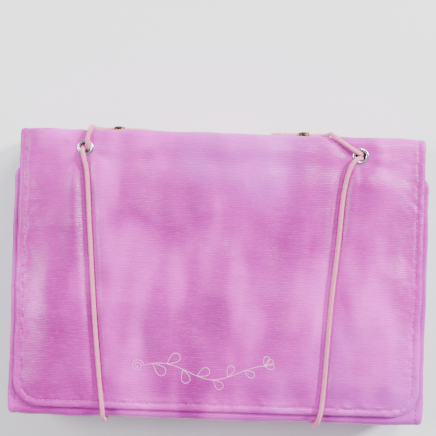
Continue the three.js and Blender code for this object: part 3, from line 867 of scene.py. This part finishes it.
def make_stitching():
    model = stitch_model()
    for name, sheet, lines in (
        ("flap", flap_sheet, [seam_line(flap_sheet, 0.001)]),
        ("front", front_sheet, [seam_line(front_sheet, 0.001)]),
        ("top_back", top_back_sheet, side_lines(top_back_sheet)),
        ("low_back", low_back_sheet, side_lines(low_back_sheet)),
    ):
        frames = []
        for line in lines:
            frames += thread_frames(sheet, line, STITCH_PITCH, 0.74, 0.00034, 0.00012)
        seam = stamped(f"{name}_topstitch", model, frames, SEAM_THREAD)
        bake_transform(seam)
    remove_model(model)


# ---- embroidered sprig -------------------------------------------------------------------------------
SPRIG_CENTRE = (-0.0085, -0.0610)


def sprig_lines():
    """A plain trailing sprig: one curling stem with leaves on both sides and a bud at its tip."""
    stem = []
    for k in range(61):
        t = k / 60
        stem.append((-0.040 + 0.080 * t, 0.0050 * math.sin(t * 2 * math.pi * 1.15 + 0.5) - 0.001))
    lines = [stem]
    for k in range(7):
        t = 0.08 + 0.125 * k
        place = stem[round(t * 60)]
        ahead = stem[min(round(t * 60) + 2, 60)]
        heading = math.atan2(ahead[1] - place[1], ahead[0] - place[0])
        side = 1 if k % 2 else -1
        lines.append(leaf_line(place, heading + side * 0.85, 0.0105 - 0.0005 * k))
    tip = stem[-1]
    for turn in (-0.7, 0.0, 0.7):
        lines.append(leaf_line(tip, 0.6 + turn, 0.0065))
    curl = []
    for k in range(40):
        angle = 0.3 + 3.6 * math.pi * k / 39
        reach = 0.0042 * (1 - 0.75 * k / 39)
        curl.append((stem[0][0] - 0.0035 + reach * math.cos(angle), stem[0][1] + reach * math.sin(angle)))
    return lines + [curl]


def leaf_line(place, heading, length):
    """One pointed leaf drawn in thread, out and back to where it starts."""
    line = []
    for k in range(29):
        t = k / 28
        along = length * math.sin(math.pi * t)
        across = 0.30 * length * math.sin(2 * math.pi * t)
        line.append((
            place[0] + along * math.cos(heading) - across * math.sin(heading),
            place[1] + along * math.sin(heading) + across * math.cos(heading)))
    return line


def make_sprig():
    model = stitch_model()
    run = flap_sheet.run
    frames = []
    for line in sprig_lines():
        on_flap = []
        for x, y in line:
            top_y = SPRIG_CENTRE[1] + y
            s = run.before + run.bend + (run.corner[0] - run.radius - top_y)
            on_flap.append((SPRIG_CENTRE[0] + x, s))
        frames += thread_frames(flap_sheet, on_flap, 0.0013, 0.95, 0.00027, 0.00010)
    sprig = stamped("flap_sprig_embroidery", model, frames, SPRIG_THREAD)
    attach(sprig, "flap")
    remove_model(model)


# ---- cords -------------------------------------------------------------------------------------------
def cord_piece(name, line, finish):
    """A braided tube along a line, with a shallow groove down its outer and inner sides."""
    sides = 18
    around = np.arange(sides) / sides * 2 * math.pi
    girth = CORD_DIAMETER / 2 * (1 - 0.20 * np.exp(-(np.sin(around) / 0.24) ** 2))
    places, along = [], 0.0
    steps = np.diff(line, axis=0)
    forward = np.concatenate([steps[:1], (steps[1:] + steps[:-1]) / 2, steps[-1:]])
    forward /= np.linalg.norm(forward, axis=1)[:, None]
    side = np.cross(forward[0], (0, 0, 1.0))
    gone = []
    for k, point in enumerate(line):
        side = side - forward[k] * np.dot(side, forward[k])
        side /= np.linalg.norm(side)
        up = np.cross(side, forward[k])
        if k:
            along += float(np.linalg.norm(line[k] - line[k - 1]))
        gone.append(along)
        pinch = 1 + 0.03 * math.sin(along / 0.0011)
        for angle, reach in zip(around, girth):
            offset = side * math.cos(angle + math.pi / 2) + up * math.sin(angle + math.pi / 2)
            places.append(point + offset * reach * pinch)
    count = len(line)
    faces = []
    for k in range(count - 1):
        for j in range(sides):
            n = (j + 1) % sides
            faces.append([k * sides + j, k * sides + n, (k + 1) * sides + n, (k + 1) * sides + j])
    faces.append(list(range(sides)))
    faces.append(list(range((count - 1) * sides, count * sides)))
    piece = new_piece(name, places, faces, finish)
    layer = piece.data.uv_layers.new(name="braid")
    for polygon in piece.data.polygons:
        columns = [piece.data.loops[i].vertex_index % sides for i in polygon.loop_indices]
        wraps = max(columns) - min(columns) > sides // 2
        for loop_index, column in zip(polygon.loop_indices, columns):
            row = piece.data.loops[loop_index].vertex_index // sides
            turn = column + (sides if wraps and column < sides // 2 else 0)
            layer.data[loop_index].uv = (gone[row] * 1000, turn / sides * 9.4)
    return piece


def make_cords():
    for word, line in zip(("left", "right"), CORD_LINES):
        piece = cord_piece(f"{word}_elastic", line, ELASTIC)
        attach(piece, "flap")
        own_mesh(piece)
        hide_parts(f"elastic_cord_{word}")


# ---- eyelets -----------------------------------------------------------------------------------------
def spun_ring(name, outline, finish, segments=40):
    """A ring spun about Z from a closed outline of (radius, height) corners."""
    bpy.ops.object.select_all(action="DESELECT")
    bpy.ops.mesh.primitive_circle_add(vertices=len(outline), radius=1)
    ring = start_piece(name, finish)
    for corner, (radius, height) in zip(ring.data.vertices, outline):
        corner.co = (radius, 0, height)
    bpy.ops.object.mode_set(mode="EDIT")
    bpy.ops.mesh.select_all(action="SELECT")
    bpy.ops.mesh.spin(steps=segments, angle=2 * math.pi, center=(0, 0, 0), axis=(0, 0, 1))
    bpy.ops.mesh.select_all(action="SELECT")
    bpy.ops.mesh.remove_doubles(threshold=0.00001)
    bpy.ops.mesh.normals_make_consistent(inside=False)
    bpy.ops.object.mode_set(mode="OBJECT")
    bpy.ops.object.shade_smooth_by_angle(angle=math.radians(50))
    return settle(ring)


def eyelet_outline():
    """A rolled flange that turns down into a thin barrel."""
    outline = []
    for k in range(9):
        angle = math.pi - math.pi * k / 8
        outline.append((0.00440 + 0.00105 * math.cos(angle), 0.0500 + 0.00085 * math.sin(angle)))
    outline += [(0.00545, 0.0498), (0.00405, 0.0498), (0.00405, 0.0465), (0.00345, 0.0465)]
    outline[0] = (0.00345, 0.0500)
    return outline


def washer_outline():
    return [
        (0.00435, 0.0468), (0.0057, 0.0468), (0.0059, 0.0470), (0.0058, 0.0472), (0.0055, 0.0473),
        (0.00435, 0.0473),
    ]


def make_eyelets():
    for word, (x, y) in zip(("left", "right"), EYELETS):
        for kind, outline in (("eyelet", eyelet_outline()), ("eyelet_washer", washer_outline())):
            ring = spun_ring(f"{kind}_{word}_spun", outline, SILVER)
            ring.data.transform(Matrix.Translation((x, y, 0)))
            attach(ring, "flap")
            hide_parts(f"{kind}_{word}")


# ---- toggles -----------------------------------------------------------------------------------------
def toggle_model():
    """A rounded bar with two holes across it, each hole with a raised rim."""
    add_block((0, 0, 0), (0.0064, 0.0046, 0.0206))
    bar = start_piece("toggle_model", BRONZE)
    round_edges(bar, 0.0019, 5)
    settle(bar)
    rims = []
    for z in TOGGLE_HOLES:
        bpy.ops.object.select_all(action="DESELECT")
        bpy.ops.mesh.primitive_torus_add(
            location=(0, 0, z), rotation=(0, math.pi / 2, 0), major_segments=28, minor_segments=10,
            major_radius=0.00215, minor_radius=0.0003)
        bpy.ops.object.transform_apply(location=True, rotation=True)
        rim = bpy.context.active_object
        for side in (-1, 1):
            rims.append(copy_piece(rim, "rim", Matrix.Translation((side * 0.0032, 0, 0))))
        remove_model(rim)
    for z in TOGGLE_HOLES:
        cut_out(bar, add_rod(28, 0.00195, 0.02, (0, 0, z), (0, math.pi / 2, 0)))
    join_pieces(bar, *rims)
    bpy.ops.object.shade_smooth_by_angle(angle=math.radians(40))
    bar.data.materials.clear()
    bar.data.materials.append(BRONZE)
    return bar


def make_toggles():
    model = toggle_model()
    for word, centre in zip(("left", "right"), TOGGLE_CENTRES):
        toggle = copy_piece(model, f"cord_toggle_{word}_bar", Matrix.Translation(centre))
        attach(toggle, f"cord_toggle_{word}")
        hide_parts(f"cord_toggle_{word}")
    remove_model(model)


# ---- pouches -----------------------------------------------------------------------------------------
POUCH_SIZE = (0.232, 0.076, 0.013)
ZIP_OFFSET = 0.024
ZIP_TOP = 0.0133
PIVOT_X = -0.1205
PIN_HEIGHT = 0.0179
SLIDER_X = -0.1135
TAPE_HALF = (0.122, 0.013)
COIL_PITCH = 0.0018
SWELL_FRAMES = 20
POUCH_REACH = 0.0385
POUCH_FRAMES = {
    "a": Matrix.Translation((0, 0.042, 0.0091)),
    "b": Matrix.Translation((0, -0.046, 0.0091)),
    "c": Matrix.Translation((0, -0.050, 0.0431)) @ Matrix.Rotation(math.pi, 4, "X"),
    "d": Matrix.Translation((0, 0.030, 0.0431)) @ Matrix.Rotation(math.pi, 4, "X"),
}


def pouch_block():
    """A rounded block, a little smaller than the full pouch, cut fine enough to swell."""
    wide, deep, tall = POUCH_SIZE
    add_block((0, 0, tall / 2), (wide - 0.006, deep - 0.006, tall - 0.004))
    block = start_piece("net_pouch", NET)
    round_edges(block, 0.004, 3)
    cells = block.modifiers.new("cells", "REMESH")
    cells.mode = "VOXEL"
    cells.voxel_size = 0.004
    return settle(block)


def swell(piece, pressure, limit):
    """Fills the piece with air as a cloth bag, holding every point within a limit of where it began."""
    before = np.array([v.co for v in piece.data.vertices])
    cloth = piece.modifiers.new("cloth", "CLOTH")
    cloth.settings.use_pressure = True
    cloth.settings.uniform_pressure_force = pressure
    cloth.settings.effector_weights.gravity = 0
    cloth.settings.quality = 5
    cloth.point_cache.frame_start = 1
    cloth.point_cache.frame_end = SWELL_FRAMES
    scene = bpy.context.scene
    for number in range(1, SWELL_FRAMES + 1):
        scene.frame_set(number)
    pick_only(piece)
    bpy.ops.object.modifier_apply(modifier=cloth.name)
    scene.frame_set(1)
    after = np.array([v.co for v in piece.data.vertices])
    moved = after - before
    far = np.linalg.norm(moved, axis=1)[:, None]
    held = before + moved * np.minimum(1, limit / np.maximum(far, 1e-9))
    piece.data.vertices.foreach_set("co", held.ravel())


def pouch_model():
    """A slack net pouch: swollen a little, flat underneath and gathered along its zip."""
    pouch = pouch_block()
    swell(pouch, 4.0, 0.003)
    finer = pouch.modifiers.new("finer", "SUBSURF")
    finer.levels = finer.render_levels = 1
    settle(pouch)
    for corner in pouch.data.vertices:
        x, y, z = corner.co
        up = float(ease(z / POUCH_SIZE[2]))
        fold = noise.noise(Vector((x / 0.018, y / 0.040, 3.3)))
        crease = 1 - abs(noise.noise(Vector((x / 0.030, y / 0.022, z / 0.010 + 8.1)))) * 2
        gather = noise.noise(Vector((x / 0.0065, 1.7, z / 0.02)))
        near_zip = math.exp(-((y - ZIP_OFFSET) / 0.014) ** 2)
        z += up * (0.0009 * fold + 0.0008 * crease * (1 - near_zip) - 0.0010)
        y += 0.0012 * gather * (1 - near_zip) * min(1, abs(y) / 0.030)
        z = min(max(z, 0.0), ZIP_TOP - 0.0006)
        if near_zip > 0.35:
            z = min(z, ZIP_TOP - 0.0006 - 0.0003 * up)
        corner.co = (x, max(-POUCH_REACH, min(POUCH_REACH, y)), z)
    smooth_all(pouch)
    return pouch


def tape_model():
    """Two halves of woven tape, each with a corded inner edge and a stitched outer edge."""
    places, faces = [], []
    columns = np.linspace(-TAPE_HALF[0], TAPE_HALF[0], 123)
    profile = [
        (0.0021, 0.0000), (0.0021, 0.0007), (0.0030, 0.0009), (0.0040, 0.0007), (0.0075, 0.0006),
        (0.0105, 0.0007), (0.0122, 0.0008), (0.0130, 0.0005), (0.0130, 0.0001), (0.0105, 0.0001),
        (0.0060, 0.0001),
    ]
    for side in (-1, 1):
        first = len(places)
        for x in columns:
            sway = 0.00018 * noise.noise(Vector((x / 0.016, side, 0.4)))
            for reach, height in profile:
                lift = sway * (reach - 0.002) / 0.011
                places.append((x, ZIP_OFFSET + side * reach, ZIP_TOP + height + max(lift, -0.0001)))
        count = len(profile)
        for k in range(len(columns) - 1):
            for j in range(count):
                n = (j + 1) % count
                row, after = first + k * count, first + (k + 1) * count
                faces.append([row + j, row + n, after + n, after + j])
        faces.append([first + j for j in range(count)])
        faces.append([first + (len(columns) - 1) * count + j for j in range(count)])
    return new_piece("zip_tape_model", places, faces, TAPE)


def tooth_model():
    """One turn of zip coil: a plump bar with a bulging head."""
    add_block((0, 0, 0), (0.00105, 0.0024, 0.0013))
    tooth = start_piece("tooth_model", COIL)
    round_edges(tooth, 0.0004, 1)
    return settle(tooth)


def coil_model():
    """Two rows of coil teeth that mesh down the middle of the tape."""
    tooth = tooth_model()
    frames = []
    for k in range(int(0.236 / COIL_PITCH)):
        x = -0.118 + COIL_PITCH * (k + 0.25)
        for side, shift in ((-1, 0.0), (1, COIL_PITCH / 2)):
            frames.append(
                Matrix.Translation((x + shift, ZIP_OFFSET + side * 0.00080, ZIP_TOP + 0.00085))
                @ Matrix.Rotation(side * 0.16, 4, "Z"))
    coil = stamped("zip_coil_model", tooth, frames, COIL)
    remove_model(tooth)
    return coil


def narrow_nose(part, share):
    """Draws in the end of a slider part that points away from the pull."""
    for corner in part.data.vertices:
        if corner.co.x > SLIDER_X:
            corner.co.y = ZIP_OFFSET + (corner.co.y - ZIP_OFFSET) * share


def slider_model():
    """A zip slider: shield-shaped top plate with a raised crown, folded cheeks, and a bridge for the pull."""
    add_block((SLIDER_X, ZIP_OFFSET, ZIP_TOP + 0.0025), (0.011, 0.009, 0.0010))
    plate = start_piece("zip_slider_model", SILVER)
    narrow_nose(plate, 0.72)
    select_faces(plate, lambda centre, normal: normal.z > 0.9)
    bpy.ops.mesh.inset(thickness=0.0012)
    bpy.ops.mesh.extrude_region_move(TRANSFORM_OT_translate={"value": (0, 0, 0.0004)})
    bpy.ops.transform.resize(value=(0.8, 0.7, 1))
    bpy.ops.object.mode_set(mode="OBJECT")
    select_faces(plate, lambda centre, normal: abs(normal.y) > 0.8 and centre.z < ZIP_TOP + 0.0029)
    bpy.ops.mesh.extrude_region_move(TRANSFORM_OT_translate={"value": (0, 0, 0)})
    bpy.ops.object.mode_set(mode="OBJECT")
    others = []
    for side in (-1, 1):
        cheek = add_block(
            (SLIDER_X, ZIP_OFFSET + side * 0.0036, ZIP_TOP + 0.0018), (0.0106, 0.0015, 0.0016))
        narrow_nose(cheek, 0.78)
        ear = add_block(
            (PIVOT_X + 0.0018, ZIP_OFFSET + side * 0.0024, ZIP_TOP + 0.0041), (0.0062, 0.0008, 0.0032))
        others += [cheek, ear]
    pin = add_rod(16, 0.00045, 0.0052, (PIVOT_X, ZIP_OFFSET, PIN_HEIGHT), (math.pi / 2, 0, 0))
    bpy.ops.object.transform_apply(location=True, rotation=True)
    for part in [plate, *others, pin]:
        round_edges(part, 0.00012 if part == pin else 0.00028, 3).limit_method = "ANGLE"
        settle(part)
    join_pieces(plate, *others, pin)
    bpy.ops.object.shade_smooth_by_angle(angle=math.radians(40))
    return plate


def pull_model():
    """A flat zip pull with a rolled eye, a narrow neck and a pierced grip."""
    bpy.ops.object.select_all(action="DESELECT")
    bpy.ops.mesh.primitive_torus_add(
        location=(PIVOT_X, ZIP_OFFSET, PIN_HEIGHT), rotation=(math.pi / 2, 0, 0), major_segments=24,
        minor_segments=12, major_radius=0.00102, minor_radius=0.00028)
    eye = start_piece("zip_pull_model", SILVER)
    bpy.ops.object.transform_apply(location=True, rotation=True)
    for corner in eye.data.vertices:
        corner.co.y = ZIP_OFFSET + (corner.co.y - ZIP_OFFSET) * 5.0
    bpy.ops.object.select_all(action="DESELECT")
    bpy.ops.mesh.primitive_grid_add(
        x_subdivisions=14, y_subdivisions=5, size=1, location=(PIVOT_X - 0.0083, ZIP_OFFSET, PIN_HEIGHT))
    grip = bpy.context.active_object
    grip.scale = (0.0134, 0.0050, 1)
    bpy.ops.object.transform_apply(location=True, scale=True)
    for corner in grip.data.vertices:
        gone = (PIVOT_X - 0.0016) - corner.co.x
        waist = 0.50 + 0.50 * float(ease((gone - 0.003) / 0.004))
        tip = math.sqrt(max(0.0, 1 - max(0.0, (gone - 0.0110) / 0.0025) ** 2))
        corner.co.y = ZIP_OFFSET + (corner.co.y - ZIP_OFFSET) * waist * max(tip, 0.30)
    select_faces(grip, lambda centre, normal: (
        PIVOT_X - 0.0140 < centre.x < PIVOT_X - 0.0100 and abs(centre.y - ZIP_OFFSET) < 0.0008))
    bpy.ops.mesh.delete(type="FACE")
    bpy.ops.object.mode_set(mode="OBJECT")
    wall = grip.modifiers.new("wall", "SOLIDIFY")
    wall.thickness = 0.0009
    wall.offset = 0
    smooth = grip.modifiers.new("smooth", "SUBSURF")
    smooth.levels = smooth.render_levels = 1
    settle(grip)
    join_pieces(eye, grip)
    bpy.ops.object.shade_smooth_by_angle(angle=math.radians(40))
    eye.data.materials.clear()
    eye.data.materials.append(SILVER)
    return eye


def tab_model(side):
    """A folded ribbon tab that leaves the tape, drops to the panel and runs out over its hook patch."""
    line = [(0.1216, 0.0136), (0.1232, 0.01365)]
    for k in range(1, 8):
        angle = math.pi / 2 * k / 8
        line.append((0.1232 + 0.0014 * math.sin(angle), 0.01365 - 0.0014 * (1 - math.cos(angle))))
    line += [(0.1246, 0.0100), (0.1245, 0.0060)]
    for k in range(1, 8):
        angle = math.pi / 2 * k / 8
        line.append((0.1245 + 0.0022 * (1 - math.cos(angle)), 0.0040 - 0.0022 * math.sin(angle)))
    line += [(0.1300, 0.0018), (0.1345, 0.0018), (0.1390, 0.0018)]
    path = even_steps([(x, 0, z) for x, z in line], 0.0008)
    steps = np.gradient(path, axis=0)
    steps /= np.linalg.norm(steps, axis=1)[:, None]
    out = np.stack([-steps[:, 2], steps[:, 1], steps[:, 0]], axis=1)
    across = edge_steps(0.024, (True, True), 0.0024) - 0.012
    outer, inner = np.zeros((len(path), len(across), 3)), np.zeros((len(path), len(across), 3))
    for k, place in enumerate(path):
        for j, y in enumerate(across):
            gap = 0.012 - abs(y)
            lift = 0.0003 - 0.0002 * math.exp(-((gap - 0.0022) / 0.0006) ** 2)
            lift += 0.00015 * noise.noise(Vector((y / 0.005, k * 0.0008 / 0.006, side * 2.0)))
            middle = place + np.array((0, ZIP_OFFSET + y, 0))
            outer[k, j] = middle + out[k] * lift
            inner[k, j] = middle - out[k] * 0.0003
    outer[..., 0] *= side
    inner[..., 0] *= side
    return closed_cloth("tab_model", outer, inner, TAPE)


def pile_model(name, low, high, seed):
    """A strip of matted pile: a ribbon with a lumpy, loopy top and rounded edges."""
    low, high = Vector(low), Vector(high)
    size = high - low
    across = edge_steps(size.x, (True, True), 0.0013)
    along = edge_steps(size.y, (True, True), 0.0013)
    y, x = np.meshgrid(along, across, indexing="ij")
    edge = np.minimum(np.minimum(x, size.x - x), np.minimum(y, size.y - y))
    lump = ripple(x, y, 0.0011, seed) * 0.00014 + ripple(x, y, 0.004, seed + 1) * 0.0001
    top = size.z * (0.55 + 0.40 * ease(edge / 0.0012)) + lump * ease(edge / 0.0016)
    outer = np.stack([x + low.x, y + low.y, np.minimum(top, size.z) + low.z], axis=-1)
    inner = np.stack([x + low.x, y + low.y, np.full(x.shape, low.z)], axis=-1)
    return closed_cloth(name, outer, inner, PILE)


def place_all(model, stem, body, node):
    """Copies a pouch part to all four pouches and lets each ride with its pouch."""
    for letter, place in POUCH_FRAMES.items():
        piece = copy_piece(model, stem.format(letter), place)
        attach(piece, body.format(letter))
        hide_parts(node.format(letter))
    remove_model(model)


def make_pouches():
    place_all(pouch_model(), "net_pouch_{}", "pouch_{}", "pouch_{}")
    place_all(tape_model(), "woven_tape_{}", "pouch_{}", "zip_tape_{}")
    place_all(coil_model(), "zip_coil_{}", "pouch_{}", "zip_chain_{}")
    place_all(slider_model(), "slider_{}", "zip_slider_{}", "zip_slider_{}")
    place_all(pull_model(), "pull_{}", "zip_pull_{}", "zip_pull_{}")
    for side, word in ((-1, "left"), (1, "right")):
        tab = tab_model(side)
        place_all(tab, "ribbon_tab_{}_" + word, "pouch_{}", "tab_{}_" + word)
        ends = sorted((side * 0.125, side * 0.138))
        patch = pile_model(
            "hook_model", (ends[0], ZIP_OFFSET - 0.011, 0), (ends[1], ZIP_OFFSET + 0.011, 0.0012), 1.0)
        place_all(patch, "hook_patch_{}_" + word, "pouch_{}", "hook_{}_" + word)


def make_loop_strips():
    for panel, body in (("back", "back_panel"), ("front", "front_panel")):
        for seed, word in enumerate(("left", "right")):
            node = f"{panel}_loop_{word}"
            low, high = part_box(node)
            strip = pile_model(f"{node}_strip", low, high, 3.0 + seed)
            if panel == "front":
                flip = Matrix.Translation((0, 0, low.z + high.z)) @ Matrix.Diagonal((1, 1, -1, 1))
                strip.data.transform(flip)
                strip.data.flip_normals()
            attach(strip, body)
            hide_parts(node)


# ---- room, lights and camera -------------------------------------------------------------------------
def make_floor():
    bpy.ops.object.select_all(action="DESELECT")
    bpy.ops.mesh.primitive_plane_add(size=6, location=(0, 0, 0))
    floor = bpy.context.active_object
    floor.name = "floor"
    made, shader = finish_nodes("pale_floor", Roughness=0.9)[:2]
    shader.inputs["Base Color"].default_value = (0.90, 0.90, 0.91, 1)
    floor.data.materials.append(made)


def soft_light(name, place, size, power, tone):
    lamp = bpy.data.lights.new(name, "AREA")
    lamp.shape = "RECTANGLE"
    lamp.size, lamp.size_y = size
    lamp.energy = power
    lamp.color = tone
    made = bpy.data.objects.new(name, lamp)
    made.location = place
    made.rotation_euler = (-Vector(place)).to_track_quat("-Z", "Y").to_euler()
    bpy.context.scene.collection.objects.link(made)


def make_lights():
    soft_light("key_window", (1.62, 0.85, 1.02), (0.36, 0.36), 86, (1.0, 0.98, 0.97))
    soft_light("left_fill", (-0.90, 0.20, 0.80), (0.50, 0.50), 16, (1.0, 0.97, 1.0))
    soft_light("high_panel", (0.45, 0.70, 1.00), (0.25, 0.25), 12, (1.0, 0.98, 1.0))
    soft_light("rim_strip", (0.1, 1.3, 0.30), (1.4, 0.4), 8, (0.66, 0.74, 1.0))
    room = bpy.data.worlds.new("soft_room")
    room.use_nodes = True
    room.node_tree.nodes["Background"].inputs["Color"].default_value = (0.96, 0.97, 1.0, 1)
    room.node_tree.nodes["Background"].inputs["Strength"].default_value = 0.42
    bpy.context.scene.world = room


def make_camera():
    """Straight above the bag, turned a little so that the bag sits slightly clockwise."""
    lens = bpy.data.cameras.new("camera")
    lens.sensor_width = 36
    lens.lens = 68.75
    camera = bpy.data.objects.new("camera", lens)
    camera.location = (-0.0020, 0.0392, 0.600)
    camera.rotation_euler = (0, 0, math.radians(1.8))
    bpy.context.scene.collection.objects.link(camera)
    bpy.context.scene.camera = camera


make_cover()
make_stitching()
make_sprig()
make_cords()
make_eyelets()
make_toggles()
make_pouches()
make_loop_strips()
make_floor()
make_lights()
make_camera()

bpy.context.view_layer.update()
